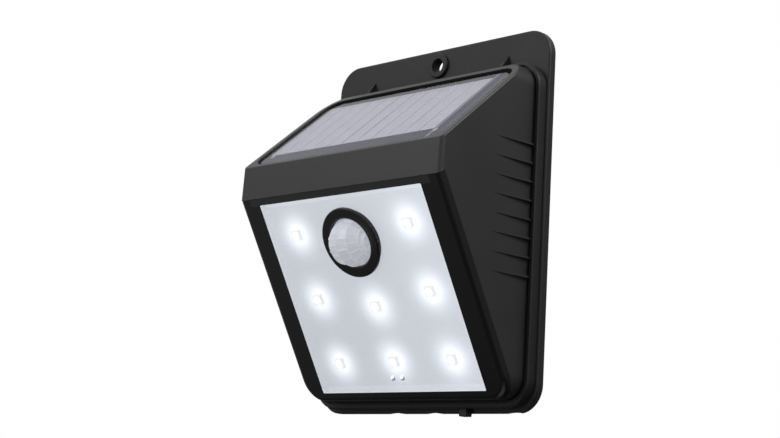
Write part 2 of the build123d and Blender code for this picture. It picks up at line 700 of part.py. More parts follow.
def make_switch_knob():
    """A ribbed cap on the slider's stem that stands just below the plate."""
    half = KNOB_WIDE / 2
    knob = block(KNOB_X - half, KNOB_X + half, KNOB_BACK_Y, KNOB_FRONT_Y, KNOB_LOW, KNOB_HIGH)
    knob = fillet(knob.edges().group_by(Axis.Z)[0], 0.35)
    for x in (-0.75, 0, 0.75):
        knob -= block(KNOB_X + x - 0.15, KNOB_X + x + 0.15, 0, -6, KNOB_LOW - 1, KNOB_LOW + 0.25)
    knob -= block(KNOB_X - 0.8, KNOB_X + 0.8, STEM_Y + 0.7, STEM_Y - 0.7, KNOB_HIGH - 1.8, KNOB_HIGH + 1)
    return knob


def make_switch_terminals():
    pins = []
    for i in (-1, 0, 1):
        x = KNOB_X + TRAVEL / 2 + 2.5 * i
        pins.append(block(x - 0.4, x + 0.4, -3.9, -4.3, SWITCH_HIGH, SWITCH_HIGH + 2.5))
    return Compound(children=pins)


# ---------------------------------------------------------------- write every piece
packages, phosphors = make_leds()
pir_can, pir_filter, pir_pins = make_pir_sensor()
cells = make_cells()
ribbons = make_ribbons()
dots = make_solar_dots()
chip, chip_pins = make_control_chip()

save("back_cover", make_back_cover())
save("front_housing", make_front_housing())
save("front_frame", make_front_frame())
save("case_gasket", make_gasket())
save("case_screws", Compound(children=[
    screw(x, z, SCREW_HEAD_Y, SCREW_TIP_Y, SCREW_HEAD_R, SCREW_SHANK_R) for x, z in POST_PLACES]))

save("window_lens", make_window_lens())
save("reflector_tray", make_reflector_tray())
save("led_board", make_led_board())
save("led_packages", packages)
save("led_phosphors", phosphors)
save("solder_marks", make_solder_marks())
save("light_board_parts", make_board_parts())

save("sensor_ring", make_sensor_ring())
save("sensor_dome", make_sensor_dome())
save("pir_can", pir_can)
save("pir_filter", pir_filter)
save("pir_pins", pir_pins)

save("solar_cover", make_solar_cover(cells + ribbons + dots))
save("solar_cells", Compound(children=cells))
save("solar_ribbons", Compound(children=ribbons))
save("solar_contacts", Compound(children=dots))
save("solar_backing", make_solar_backing())
save("solar_tape", make_solar_tape())

save("battery_cell", make_battery())
save("battery_tabs", make_battery_tabs())
save("battery_strap", make_battery_strap())
save("strap_screws", Compound(children=[
    small_screw(0, CELL_Z + side * STRAP_POST_OFFSET, STRAP_FOOT_Y - 1.4, 7) for side in (-1, 1)]))

save("control_board", make_control_board())
save("control_chip", chip)
save("chip_pins", chip_pins)
save("capacitors", make_capacitors())
save("resistors", make_resistors())
save("board_screws", Compound(children=[small_screw(x, z, PCB_FRONT_Y, 4.6) for x, z in STANDOFF_PLACES]))

save("switch_case", make_switch_case())
save("switch_terminals", make_switch_terminals())
save("switch_slider", make_switch_slider())
save("switch_knob", make_switch_knob())


# ---------------------------------------------------------------- leads
def panel_point(x, s, depth):
    found = solar_face.from_local_coords((x, s, -depth))
    return (found.X, found.Y, found.Z)


def light_point(x, s, depth):
    found = light_face.from_local_coords((x, -s, -depth))
    return (found.X, found.Y, found.Z)


def solar_lead(x):
    """From the panel's back, down behind the battery and over the top edge of the board."""
    return wire([panel_point(x, 25, BACKING_BACK), panel_point(x, 25, 9), (x + 3, -10, 24), (x + 5, -4.7, 13),
                 (x + 5, -4.7, -1), (x + 5, -12.5, -9), (x + 5, -12.5, -15), (x + 5, PCB_FRONT_Y, -15)])


def battery_lead(side):
    """From an end tab, down past the battery and in to the board."""
    x = side * (CELL_LENGTH / 2 + 0.3 + WIRE_R)
    return wire([(x, CELL_Y, CELL_Z - 4), (x, CELL_Y, -8), (side * 29, -15, -19), (side * 19, -14, -24),
                 (side * 19, PCB_FRONT_Y, -24)])


def light_lead(x):
    back = FRAME_THICK + BOARD_THICK
    return wire([light_point(x, 44, back), light_point(x, 44, back + 7), (x, -12.5, -30),
                 (x, PCB_FRONT_Y, -30)])


def switch_lead(x, end_x):
    return wire([(x, -4.9, SWITCH_HIGH + 0.4), (x, -5.5, -47), (end_x, -12.5, -41), (end_x, -12.5, -36),
                 (end_x, PCB_FRONT_Y, -36)])


save("solar_lead_red", solar_lead(6))
save("solar_lead_black", solar_lead(8.5))
save("battery_lead_red", battery_lead(1))
save("battery_lead_black", battery_lead(-1))
save("light_lead_red", light_lead(4))
save("light_lead_black", light_lead(7))
save("switch_lead_red", switch_lead(17.5, 12))
save("switch_lead_black", switch_lead(20.0, 15))
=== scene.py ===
import math

import bmesh
import bpy
from mathutils import Matrix, Quaternion, Vector


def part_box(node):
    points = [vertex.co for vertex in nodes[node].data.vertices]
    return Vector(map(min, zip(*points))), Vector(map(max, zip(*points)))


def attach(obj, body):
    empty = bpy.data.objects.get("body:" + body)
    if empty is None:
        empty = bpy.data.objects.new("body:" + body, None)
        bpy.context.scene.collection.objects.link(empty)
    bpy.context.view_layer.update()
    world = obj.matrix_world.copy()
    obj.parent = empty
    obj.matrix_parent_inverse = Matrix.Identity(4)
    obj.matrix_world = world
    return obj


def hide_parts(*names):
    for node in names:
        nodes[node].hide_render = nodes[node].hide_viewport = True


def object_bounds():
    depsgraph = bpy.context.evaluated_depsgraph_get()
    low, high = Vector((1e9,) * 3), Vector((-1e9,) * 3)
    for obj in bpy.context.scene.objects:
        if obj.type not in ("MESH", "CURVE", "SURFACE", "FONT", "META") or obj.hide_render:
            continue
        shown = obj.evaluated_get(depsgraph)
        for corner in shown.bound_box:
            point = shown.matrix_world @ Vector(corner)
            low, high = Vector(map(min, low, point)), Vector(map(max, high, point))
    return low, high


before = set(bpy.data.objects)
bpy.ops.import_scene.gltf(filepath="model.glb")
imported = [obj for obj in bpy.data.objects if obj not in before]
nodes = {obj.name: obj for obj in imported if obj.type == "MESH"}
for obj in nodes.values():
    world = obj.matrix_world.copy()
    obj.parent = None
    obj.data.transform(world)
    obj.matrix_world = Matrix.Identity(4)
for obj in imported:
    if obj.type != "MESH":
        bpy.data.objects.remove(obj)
cad_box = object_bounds()

# ---------------------------------------------------------------- studio
# A white room with soft light from above and darker floor bounce from below. The camera stands
# a little lower than the light, to its right, as a person would who looks up at it on a wall.
MM = 0.001
CAMERA_PLACE = Vector((347.12, -379.47, -150.2)) * MM
CAMERA_AZIMUTH = math.radians(44.225)
CAMERA_ELEVATION = math.radians(-10.64)
CAMERA_ROLL = math.radians(3.273)
LENS_MM = 71.65
FLOOR_DROP = 1.5
FLOOR_RADIUS = 0.6

camera_data = bpy.data.cameras.new("camera")
camera_data.lens = LENS_MM
camera_data.sensor_width = 36.0
camera_data.clip_start = 0.01
camera = bpy.data.objects.new("camera", camera_data)
bpy.context.scene.collection.objects.link(camera)
camera_back = Vector((
    math.sin(CAMERA_AZIMUTH) * math.cos(CAMERA_ELEVATION),
    -math.cos(CAMERA_AZIMUTH) * math.cos(CAMERA_ELEVATION),
    math.sin(CAMERA_ELEVATION),
))
upright = (-camera_back).to_track_quat("-Z", "Y")
camera.rotation_mode = "QUATERNION"
camera.rotation_quaternion = Quaternion(camera_back, CAMERA_ROLL) @ upright
camera.location = CAMERA_PLACE
bpy.context.scene.camera = camera
bpy.context.scene.view_settings.view_transform = "Standard"

world = bpy.data.worlds.new("studio")
bpy.context.scene.world = world
world.use_nodes = True
sky = world.node_tree
direction = sky.nodes.new("ShaderNodeTexCoord")
height = sky.nodes.new("ShaderNodeSeparateXYZ")
# Brightness by height, from the dark floor side up to the ceiling, then dimmer behind the wall.
HEIGHT_STOPS = [
    (-1.0, 0.02), (-0.66, 0.03), (-0.56, 0.12), (-0.46, 0.30),
    (-0.10, 0.36), (0.20, 0.50), (0.60, 0.90), (1.0, 0.85),
]
DEPTH_STOPS = [(-1.0, 1.0), (0.0, 0.9), (0.5, 0.33), (0.8, 0.28), (1.0, 0.75)]
levels = []
for output, stops in (("Z", HEIGHT_STOPS), ("Y", DEPTH_STOPS)):
    remap = sky.nodes.new("ShaderNodeMapRange")
    remap.inputs["From Min"].default_value = -1.0
    ramp = sky.nodes.new("ShaderNodeValToRGB")
    while len(ramp.color_ramp.elements) < len(stops):
        ramp.color_ramp.elements.new(0.5)
    for element, (position, grey) in zip(ramp.color_ramp.elements, stops):
        element.position = (position + 1) / 2
        element.color = (grey, grey, grey, 1.0)
    sky.links.new(height.outputs[output], remap.inputs["Value"])
    sky.links.new(remap.outputs[0], ramp.inputs[0])
    levels.append(ramp.outputs[0])
dimmed = sky.nodes.new("ShaderNodeMix")
dimmed.data_type = "RGBA"
dimmed.blend_type = "MULTIPLY"
dimmed.inputs[0].default_value = 1.0
seen = sky.nodes.new("ShaderNodeLightPath")
white = sky.nodes.new("ShaderNodeMix")
white.data_type = "RGBA"
white.inputs[7].default_value = (1.0, 1.0, 1.0, 1.0)
for start, end in (
    (direction.outputs["Generated"], height.inputs[0]),
    (levels[0], dimmed.inputs[6]),
    (levels[1], dimmed.inputs[7]),
    (seen.outputs["Is Camera Ray"], white.inputs[0]),
    (dimmed.outputs[2], white.inputs[6]),
    (white.outputs[2], sky.nodes["Background"].inputs["Color"]),
):
    sky.links.new(start, end)


def soft_box(name, place, aim, size, watts):
    data = bpy.data.lights.new(name, "AREA")
    data.shape = "DISK"
    data.size = size
    data.energy = watts
    lamp = bpy.data.objects.new(name, data)
    bpy.context.scene.collection.objects.link(lamp)
    lamp.location = place
    lamp.rotation_mode = "QUATERNION"
    lamp.rotation_quaternion = (Vector(aim) - Vector(place)).to_track_quat("-Z", "Y")


MIDDLE = (cad_box[0] + cad_box[1]) / 2
soft_box("front_light", (-0.6, -1.0, 0.5), MIDDLE, 0.6, 2.0)
soft_box("side_light", (0.34, 0.06, 0.28), (0, 0, 0), 0.25, 1.15)
soft_box("panel_light", (-0.42, 0.62, 0.66), MIDDLE, 1.3, 2.3)

# ---------------------------------------------------------------- back cover
# One black ABS moulding that hangs on a wall screw: plate, hole boss, gussets and the pedestal
# that the case sits in. Its faces have a fine spark-eroded grain, a little duller than the front.


class Signal:
    """A number or colour inside a finish. Python's own signs add the Math nodes."""

    def __init__(self, finish, socket):
        self.finish = finish
        self.socket = socket

    def math(self, operation, *values):
        return self.finish.add("ShaderNodeMath", {"operation": operation}, dict(enumerate(values)))

    def __add__(self, other):
        return self.math("ADD", self, other)

    def __sub__(self, other):
        return self.math("SUBTRACT", self, other)

    def __rsub__(self, other):
        return self.math("SUBTRACT", other, self)

    def __mul__(self, other):
        return self.math("MULTIPLY", self, other)

    def __truediv__(self, other):
        return self.math("DIVIDE", self, other)

    def __gt__(self, other):
        return self.math("GREATER_THAN", self, other)

    def __lt__(self, other):
        return self.math("LESS_THAN", self, other)

    __radd__ = __add__
    __rmul__ = __mul__


class Finish:
    """A material as it is built up. add() makes any node, and surface() sets the shader."""

    def __init__(self, name):
        self.material = bpy.data.materials.new(name)
        self.material.use_nodes = True
        self.tree = self.material.node_tree
        self.shader = self.tree.nodes["Principled BSDF"]

    def add(self, kind, settings=None, sockets=None, result=0):
        node = self.tree.nodes.new(kind)
        for name, value in (settings or {}).items():
            setattr(node, name, value)
        self.fill(node, sockets or {})
        return Signal(self, node.outputs[result])

    def fill(self, node, sockets):
        for name, value in sockets.items():
            if isinstance(value, Signal):
                self.tree.links.new(value.socket, node.inputs[name])
            else:
                node.inputs[name].default_value = value

    def surface(self, **sockets):
        self.fill(self.shader, {name.replace("_", " "): value for name, value in sockets.items()})
        return self

    def place(self):
        return self.add("ShaderNodeTexCoord", result=3)

    def along(self, axis, origin=(0, 0, 0)):
        """Distance in metres from origin along a direction."""
        offset = self.add("ShaderNodeVectorMath", {"operation": "SUBTRACT"}, {0: self.place(), 1: origin})
        return self.add("ShaderNodeVectorMath", {"operation": "DOT_PRODUCT"}, {0: offset, 1: axis}, result=1)

    def noise(self, per_metre, detail=2.0, stretch=(1, 1, 1)):
        place = self.add("ShaderNodeVectorMath", {"operation": "MULTIPLY"}, {0: self.place(), 1: stretch})
        return self.add("ShaderNodeTexNoise", {}, {"Vector": place, "Scale": per_metre, "Detail": detail})

    def mix(self, share, first, second):
        return self.add("ShaderNodeMix", {"data_type": "RGBA"}, {0: share, 6: first, 7: second}, result=2)

    def bump(self, height, strength, distance=0.1 * MM):
        return self.add("ShaderNodeBump", {}, {"Height": height, "Strength": strength, "Distance": distance})


def paint(red, green, blue):
    return (red, green, blue, 1.0)


def moulded(name, colour, roughness, grain=0.4, shine=0.5):
    """Plastic from a spark-eroded mould: fine grain, and a sheen that varies a little."""
    made = Finish(name)
    cloud = made.noise(60, 3)
    fine = made.noise(2600, 4)
    light = tuple(min(1.0, c * 1.25 + 0.002) for c in colour[:3]) + (1.0,)
    return made.surface(
        Base_Color=made.mix(cloud * 0.6 + fine * 0.4, colour, light),
        Roughness=cloud * 0.10 + fine * 0.08 + (roughness - 0.09),
        Specular_IOR_Level=shine,
        Normal=made.bump(fine, grain),
    )


def dress(finish, *names):
    for name in names:
        nodes[name].data.materials.clear()
        nodes[name].data.materials.append(finish.material)


dress(moulded("case_black", paint(0.010, 0.010, 0.0102), 0.48, shine=0.4), "back_cover")

# ---------------------------------------------------------------- front housing
# The black shell that carries the panel on its slope and the light below its upright band, with
# eight thin fins on each side. Same grained plastic as the back cover, from its own mould.
dress(moulded("housing_black", paint(0.017, 0.017, 0.0172), 0.44), "front_housing")

# ---------------------------------------------------------------- front frame
# The bezel round the window, pressed on over the housing's open face with pegs. It comes from a
# polished mould, so it is blacker and shinier than the shell behind it. Its top bar is rougher, and
# its colour is painted lighter as painted light, to match the lit band above.
FACE_TILT = math.radians(30.5)
FRAME_THICK = 2.6 * MM
SEAM_GAP = 0.15 * MM
TOP_BAR = 2.6 * MM
OPENING_HALF = 36.2 * MM
BAR_OVERHANG = 4 * MM

down_face = Vector((0, math.sin(FACE_TILT), -math.cos(FACE_TILT)))
out_of_face = Vector((0, -math.cos(FACE_TILT), -math.sin(FACE_TILT)))
frame_low, frame_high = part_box("front_frame")
seam_drop = FRAME_THICK * math.sin(FACE_TILT) - SEAM_GAP * math.cos(FACE_TILT)
seam = Vector((0, frame_low.y, frame_high.z - seam_drop))

bezel = Finish("frame_black")
bar_left = bezel.along((-1, 0, 0)) < OPENING_HALF + BAR_OVERHANG
bar_right = bezel.along((1, 0, 0)) < OPENING_HALF + BAR_OVERHANG
# Mask of the top bar above the window: rougher, and painted lighter as painted light.
top_bar_matt_painted_light = (bezel.along(down_face, seam) < TOP_BAR) * bar_left * bar_right
polish = bezel.noise(60, 3)
pores = bezel.noise(2600, 4)
bezel.surface(
    Base_Color=bezel.mix(
        top_bar_matt_painted_light,
        bezel.mix(polish, paint(0.005, 0.005, 0.0052), paint(0.008, 0.008, 0.0085)),
        bezel.mix(pores, paint(0.026, 0.026, 0.026), paint(0.034, 0.034, 0.034)),
    ),
    Roughness=top_bar_matt_painted_light * 0.15 + polish * 0.10 + pores * 0.08 + 0.21,
    Normal=bezel.bump(pores, 0.10),
)
dress(bezel, "front_frame")

# ---------------------------------------------------------------- window lens
# Clear acrylic sheet with a step round its edge that the frame traps, and a hole for the sensor.
# Its faces are polished. Its cut edges, which are slightly cloudy, get the same finish as the faces.
lens = Finish("clear_window")
lens.surface(
    Base_Color=paint(0.97, 0.985, 1.0),
    Roughness=lens.noise(40, 2) * 0.012 + 0.004,
    Transmission_Weight=1.0,
    IOR=1.49,
)
dress(lens, "window_lens")

# ---------------------------------------------------------------- light board
# A white circuit board with eight square emitters behind the lens, in a white flared surround.
# The board and surround carry a painted glow as emission where each emitter's light would spill on to them,
# strongest within a few millimetres.
LED_COLUMN = 24.9 * MM
LED_TOP_ROW, LED_SIDE_ROW = 14.5 * MM, 37.4 * MM
LED_MIDDLE_ROW, LED_LOW_ROW = 41.2 * MM, 60.5 * MM
LED_PLACES = [
    (-LED_COLUMN, LED_TOP_ROW), (LED_COLUMN, LED_TOP_ROW),
    (-LED_COLUMN, LED_SIDE_ROW), (0, LED_MIDDLE_ROW), (LED_COLUMN, LED_SIDE_ROW),
    (-LED_COLUMN, LED_LOW_ROW), (0, LED_LOW_ROW), (LED_COLUMN, LED_LOW_ROW),
]
HALO_RADIUS = 5.5 * MM
GLOW = 1.30


def lit_white(name, colour, base, halo, roughness):
    """White plastic with a painted glow round every emitter. base and halo are the glow's levels."""
    made = Finish(name)
    across = made.along((1, 0, 0))
    down = made.along(down_face, seam)
    total = 0.0
    for x, s in LED_PLACES:
        dx = across - x
        ds = down - s
        distance = (dx * dx + ds * ds) / -(HALO_RADIUS**2)
        total = distance.math("EXPONENT", distance) + total
    # Painted light: the glow also rises a little towards the right and towards the top.
    slope = across * 1.4 - down * 0.6 + (base + 0.02)
    level = (total * halo + slope) / GLOW
    share = level.math("MINIMUM", level, 1.0)
    fine = made.noise(900, 3)
    return made.surface(
        Base_Color=made.mix(fine, colour, tuple(0.94 * c for c in colour[:3]) + (1.0,)),
        Roughness=fine * 0.1 + roughness,
        Emission_Color=made.mix(share, paint(0.0, 0.0, 0.0), paint(0.91, 0.945, 1.0)),
        Emission_Strength=GLOW,
        Normal=made.bump(made.noise(1500, 2), 0.05),
    )


dress(lit_white("board_white", paint(0.42, 0.43, 0.46), 0.61, 0.68, 0.35), "led_board")
dress(lit_white("surround_white", paint(0.46, 0.47, 0.50), 0.60, 0.55, 0.30), "reflector_tray")

# The package body is no lamp. Its emission is a painted glow: near white on faces that look out of the
# window, and dimmer on its sides as painted shade.
package = Finish("led_body")
package_grain = package.noise(3000, 2)
facing = package.add("ShaderNodeVectorMath", {"operation": "DOT_PRODUCT"},
                     {0: package.add("ShaderNodeTexCoord", result=1), 1: out_of_face}, result=1)
side_glow_painted_shade = package.mix(package_grain, paint(0.54, 0.55, 0.57), paint(0.62, 0.63, 0.65))
package.surface(
    Base_Color=package.mix(package_grain, paint(0.40, 0.40, 0.40), paint(0.46, 0.46, 0.45)),
    Roughness=package_grain * 0.2 + 0.35,
    Emission_Color=package.mix(facing > 0.9, side_glow_painted_shade, paint(0.88, 0.88, 0.865)),
    Emission_Strength=1.0,
)
dress(package, "led_packages")

phosphor = Finish("led_light")
phosphor_grain = phosphor.noise(6000, 2)
phosphor.surface(
    Base_Color=phosphor.mix(phosphor_grain, paint(0.9, 0.86, 0.60), paint(0.95, 0.90, 0.66)),
    Roughness=phosphor_grain * 0.2 + 0.5,
    Emission_Color=phosphor.mix(phosphor_grain, paint(1.0, 0.985, 0.95), paint(1.0, 1.0, 1.0)),
    Emission_Strength=1.3,
)
dress(phosphor, "led_phosphors")


def plated(name, dark, bright, roughness, per_metre=1500, stretch=(1, 1, 1)):
    """Bare or plated metal with fine rolled or drawn streaks."""
    made = Finish(name)
    streak = made.noise(per_metre, 4, stretch)
    return made.surface(
        Base_Color=made.mix(streak, dark, bright),
        Metallic=1.0,
        Roughness=streak * 0.2 + (roughness - 0.1),
        Normal=made.bump(streak, 0.12),
    )


solder = plated("solder", paint(0.42, 0.42, 0.43), paint(0.62, 0.62, 0.60), 0.28)
dress(solder, "pir_pins", "solar_contacts", "chip_pins", "switch_terminals")
# Painted glint: the side of each solder mark that faces the emitter above it glows bright, and the rest
# glows dark, as painted light and shade.
LIT_SIDE = 0.68
solder_painted_glint = Finish("solder_marks_painted_glint")
flow = solder_painted_glint.noise(2500, 2)
toward_light = solder_painted_glint.add("ShaderNodeVectorMath", {"operation": "DOT_PRODUCT"}, {
    0: solder_painted_glint.add("ShaderNodeTexCoord", result=1), 1: (out_of_face - down_face).normalized(),
}, result=1)
solder_painted_glint.surface(
    Base_Color=solder_painted_glint.mix(flow, paint(0.40, 0.41, 0.44), paint(0.55, 0.56, 0.58)),
    Metallic=0.75,
    Roughness=flow * 0.15 + 0.18,
    Emission_Color=solder_painted_glint.mix(
        toward_light > LIT_SIDE, paint(0.10, 0.10, 0.14), paint(0.95, 0.97, 1.0)
    ),
    Emission_Strength=1.0,
)
dress(solder_painted_glint, "solder_marks")
component = moulded("component_black", paint(0.025, 0.025, 0.027), 0.5, grain=0.4)
dress(component, "light_board_parts", "control_chip")

# ---------------------------------------------------------------- motion sensor
# A black ring clamps a milky polyethylene dome, which is moulded as a honeycomb of small lenses.
# Under it, soldered to the light board, is a round metal can with a dark infrared filter.
SENSOR_DOWN = 18.45 * MM
DOME_RADIUS = 7.8 * MM
DOME_WALL = 0.5 * MM
DOME_SINK = 0.3 * MM
FLANGE_RADIUS = 9.8 * MM
FLANGE_THICK = 0.8 * MM
FACET_STEP = math.radians(28.0)
FACET_RIDGE = 0.92
FACET_DEPTH = 0.14 * MM

dress(moulded("ring_black", paint(0.004, 0.004, 0.004), 0.28, grain=0.12), "sensor_ring")

DOME_SHIFT = 0.15 * MM
dome_centre = seam + down_face * (SENSOR_DOWN + DOME_SHIFT) - out_of_face * DOME_SINK
dome_centre += Vector((DOME_SHIFT, 0, 0))
dome_frame = Matrix((Vector((1, 0, 0)), -down_face, out_of_face)).transposed().to_4x4()
dome_frame.translation = dome_centre


def on_dome(climb, sideways, radius):
    """Climb runs up the dome in columns and sideways goes from column to column, 0 at the tip."""
    return Vector((
        math.sin(sideways),
        math.sin(climb) * math.cos(sideways),
        math.cos(climb) * math.cos(sideways),
    )) * radius


HALF_COLUMNS, HALF_ROWS = 4, 6
MIDDLE_COLUMNS = (-2, -1, 0, 1)
shell = bmesh.new()
for column in range(-HALF_COLUMNS, HALF_COLUMNS):
    low, high = column * FACET_STEP, (column + 1) * FACET_STEP
    # The outer columns are narrower on the sphere, so their lenses are twice as tall.
    tall = 1 if column in MIDDLE_COLUMNS else 2
    climb = FACET_STEP * tall
    parts = 4 * tall
    shift = 0.5 * FACET_STEP if column % 2 else 0.0
    for row in range(-HALF_ROWS, HALF_ROWS):
        start = row * climb + shift
        ring = [(start + climb * k / parts, low) for k in range(parts + 1)]
        ring += [(start + climb * (parts - k) / parts, high) for k in range(parts + 1)]
        middle = on_dome(start + climb / 2, (low + high) / 2, DOME_RADIUS - FACET_DEPTH)
        outer = [shell.verts.new(on_dome(a, b, DOME_RADIUS)) for a, b in ring]
        inner = []
        for corner in outer:
            point = middle.lerp(corner.co, FACET_RIDGE)
            inner.append(shell.verts.new(point.normalized() * (point.length - FACET_DEPTH)))
        centre = shell.verts.new(sum((v.co for v in inner), Vector()) / len(inner))
        for k in range(len(outer)):
            j = (k + 1) % len(outer)
            shell.faces.new((outer[k], outer[j], inner[j], inner[k])).material_index = 1
            shell.faces.new((inner[k], inner[j], centre))
bmesh.ops.remove_doubles(shell, verts=shell.verts, dist=0.02 * MM)
bmesh.ops.bisect_plane(
    shell, geom=[*shell.verts, *shell.edges, *shell.faces],
    plane_co=(0, 0, 0), plane_no=(0, 0, 1), clear_inner=True,
)
bmesh.ops.recalc_face_normals(shell, faces=shell.faces)
dome_mesh = bpy.data.meshes.new("sensor_dome_lens")
shell.transform(dome_frame)
shell.to_mesh(dome_mesh)
shell.free()
dome = bpy.data.objects.new("sensor_dome_lens", dome_mesh)
bpy.context.scene.collection.objects.link(dome)
wall = dome.modifiers.new("wall", "SOLIDIFY")
wall.thickness = DOME_WALL
wall.offset = -1.0

flange = bmesh.new()
STEPS = 64
profile = [(DOME_RADIUS - DOME_WALL, 0.0), (FLANGE_RADIUS, 0.0),
           (FLANGE_RADIUS, -FLANGE_THICK), (DOME_RADIUS - DOME_WALL, -FLANGE_THICK)]
turns = []
for step in range(STEPS):
    angle = 2 * math.pi * step / STEPS
    turns.append([
        flange.verts.new((r * math.cos(angle), r * math.sin(angle), z)) for r, z in profile
    ])
for step in range(STEPS):
    here, there = turns[step], turns[(step + 1) % STEPS]
    for k in range(4):
        flange.faces.new((here[k], there[k], there[(k + 1) % 4], here[(k + 1) % 4]))
bmesh.ops.recalc_face_normals(flange, faces=flange.faces)
flange_mesh = bpy.data.meshes.new("sensor_dome_flange")
flange.transform(dome_frame)
flange.to_mesh(flange_mesh)
flange.free()
dome_flange = bpy.data.objects.new("sensor_dome_flange", flange_mesh)
bpy.context.scene.collection.objects.link(dome_flange)


def milky(name, colour, glow):
    """Milky polyethylene, a little uneven in thickness, with a painted glow as emission standing in for
    light from behind it.
    """
    made = Finish(name)
    milk = made.noise(300, 3)
    thin = tuple(1.12 * c for c in colour[:3]) + (1.0,)
    return made.surface(
        Base_Color=made.mix(milk, colour, thin),
        Roughness=milk * 0.12 + 0.20,
        Emission_Color=made.mix(milk, colour, thin),
        Emission_Strength=glow,
        Normal=made.bump(made.noise(2200, 2), 0.05),
    ).material


dome_white = milky("dome_white", paint(0.43, 0.44, 0.49), 0.68)
# The ridges between the small lenses are a lighter copy of the same milk: painted highlight.
dome_ridge_painted_highlight = milky("dome_ridge_painted_highlight", paint(0.46, 0.47, 0.51), 0.66)
dome.data.materials.append(dome_white)
dome.data.materials.append(dome_ridge_painted_highlight)
dome_flange.data.materials.append(dome_white)
for piece in (dome, dome_flange):
    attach(piece, "case")
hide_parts("sensor_dome")

drawn = plated("can_metal", paint(0.50, 0.50, 0.51), paint(0.68, 0.68, 0.69), 0.30, 900, (1, 1, 6))
dress(drawn, "pir_can", "capacitors", "switch_case")
infrared = Finish("filter_dark")
tint = infrared.noise(800, 2)
infrared.surface(
    Base_Color=infrared.mix(tint, paint(0.035, 0.012, 0.018), paint(0.05, 0.02, 0.03)),
    Roughness=tint * 0.05 + 0.06,
)
dress(infrared, "pir_filter")

# ---------------------------------------------------------------- solar panel
# Eleven strips of silicon between a clear resin cover and a dark laminate, taped into a recess.
# Fine silver fingers run up each strip, pale foil shows between the strips, and black-coated
# ribbons join them end to end.
SOLAR_TILT = math.radians(40.1)
FINGER_PITCH = 1.1 * MM
FINGER_SHARE = 0.3
CRYSTALS_PER_METRE = 260.0
CELL_LEFT, CELL_RIGHT = -40.2 * MM, 34.0 * MM
CELL_LOW, CELL_HIGH = 9.6 * MM, 44.6 * MM
BAND_START, BAND_END = 35.2 * MM, 38.2 * MM

up_slope = Vector((0, math.cos(SOLAR_TILT), math.sin(SOLAR_TILT)))
clear = Finish("panel_clear")
clear.surface(
    Base_Color=paint(0.96, 0.97, 1.0),
    Roughness=clear.noise(500, 3) * 0.03 + 0.03,
    Transmission_Weight=1.0,
    Specular_IOR_Level=0.2,
    Specular_Tint=paint(0.55, 0.60, 1.0),
    IOR=1.19,
)
PANEL_HALF = 42.05 * MM
PANEL_LOW, PANEL_HIGH = 1.85 * MM, 47.05 * MM
PANEL_CORNER = 6.0 * MM
PANEL_TOP = 0.6 * MM
CORNER_STEPS = 10
RESIN_BACK = 1.70 * MM
RESIN_EDGE = 0.45 * MM
BAND_TOP = Vector((0, -48.7 * MM, -40.05 * MM))

out_of_slope = Vector((1, 0, 0)).cross(up_slope)
panel_frame = Matrix((Vector((1, 0, 0)), up_slope, out_of_slope)).transposed().to_4x4()
panel_frame.translation = BAND_TOP


def rounded_outline(inset):
    """Points round the panel's edge, inset evenly, with ten steps to each corner."""
    radius = PANEL_CORNER - inset
    reach = PANEL_HALF - PANEL_CORNER
    points = []
    for cx, cy, start in (
        (reach, PANEL_HIGH - PANEL_CORNER, 0), (-reach, PANEL_HIGH - PANEL_CORNER, 90),
        (-reach, PANEL_LOW + PANEL_CORNER, 180), (reach, PANEL_LOW + PANEL_CORNER, 270),
    ):
        for step in range(CORNER_STEPS + 1):
            angle = math.radians(start + step * 90 / CORNER_STEPS)
            points.append((cx + radius * math.cos(angle), cy + radius * math.sin(angle)))
    return points


# The poured resin, domed a little at its rim by surface tension.
resin = bmesh.new()
rings = []
for inset, depth in (
    (0.0, RESIN_BACK),
    (0.0, PANEL_TOP + RESIN_EDGE),
    (0.1 * RESIN_EDGE, PANEL_TOP + 0.6 * RESIN_EDGE),
    (0.4 * RESIN_EDGE, PANEL_TOP + 0.2 * RESIN_EDGE),
    (RESIN_EDGE, PANEL_TOP),
):
    rings.append([resin.verts.new((x, y, -depth)) for x, y in rounded_outline(inset)])
for lower, upper in zip(rings, rings[1:]):
    for k in range(len(lower)):
        j = (k + 1) % len(lower)
        resin.faces.new((lower[k], lower[j], upper[j], upper[k])).material_index = 1
resin.faces.new(rings[-1])
resin.faces.new(list(reversed(rings[0])))
resin.transform(panel_frame)
bmesh.ops.recalc_face_normals(resin, faces=resin.faces)
resin_mesh = bpy.data.meshes.new("solar_resin")
resin.to_mesh(resin_mesh)
resin.free()
solar_resin = bpy.data.objects.new("solar_resin", resin_mesh)
bpy.context.scene.collection.objects.link(solar_resin)
resin_mesh.materials.append(clear.material)
# The cut edge is frosted, and its colour is painted near black: painted shade for the dark line round the
# panel's rim.
frosted_edge_painted_shade = moulded("resin_edge", paint(0.012, 0.012, 0.020), 0.60, shine=0.1)
resin_mesh.materials.append(frosted_edge_painted_shade.material)
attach(solar_resin, "case")
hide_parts("solar_cover")

silicon = Finish("silicon")
across = silicon.along((1, 0, 0), (-CELL_RIGHT, 0, 0))
phase = silicon.add("ShaderNodeMath", {"operation": "FRACT"}, {0: across / FINGER_PITCH})
finger = phase < FINGER_SHARE
crystal = silicon.add(
    "ShaderNodeTexVoronoi", {}, {"Vector": silicon.place(), "Scale": CRYSTALS_PER_METRE}, result=1
)
shade = silicon.add("ShaderNodeSeparateColor", {}, {0: crystal})
# The silicon's colour is paler and more lavender than bare silicon: painted reflection of the bright room.
body = silicon.mix(shade, paint(0.42, 0.42, 0.51), paint(0.45, 0.45, 0.54))
silicon.surface(
    Base_Color=silicon.mix(finger, body, paint(0.94, 0.94, 1.0)),
    Metallic=0.95,
    Roughness=finger * 0.02 + shade * 0.02 + 0.30,
)
dress(silicon, "solar_cells")

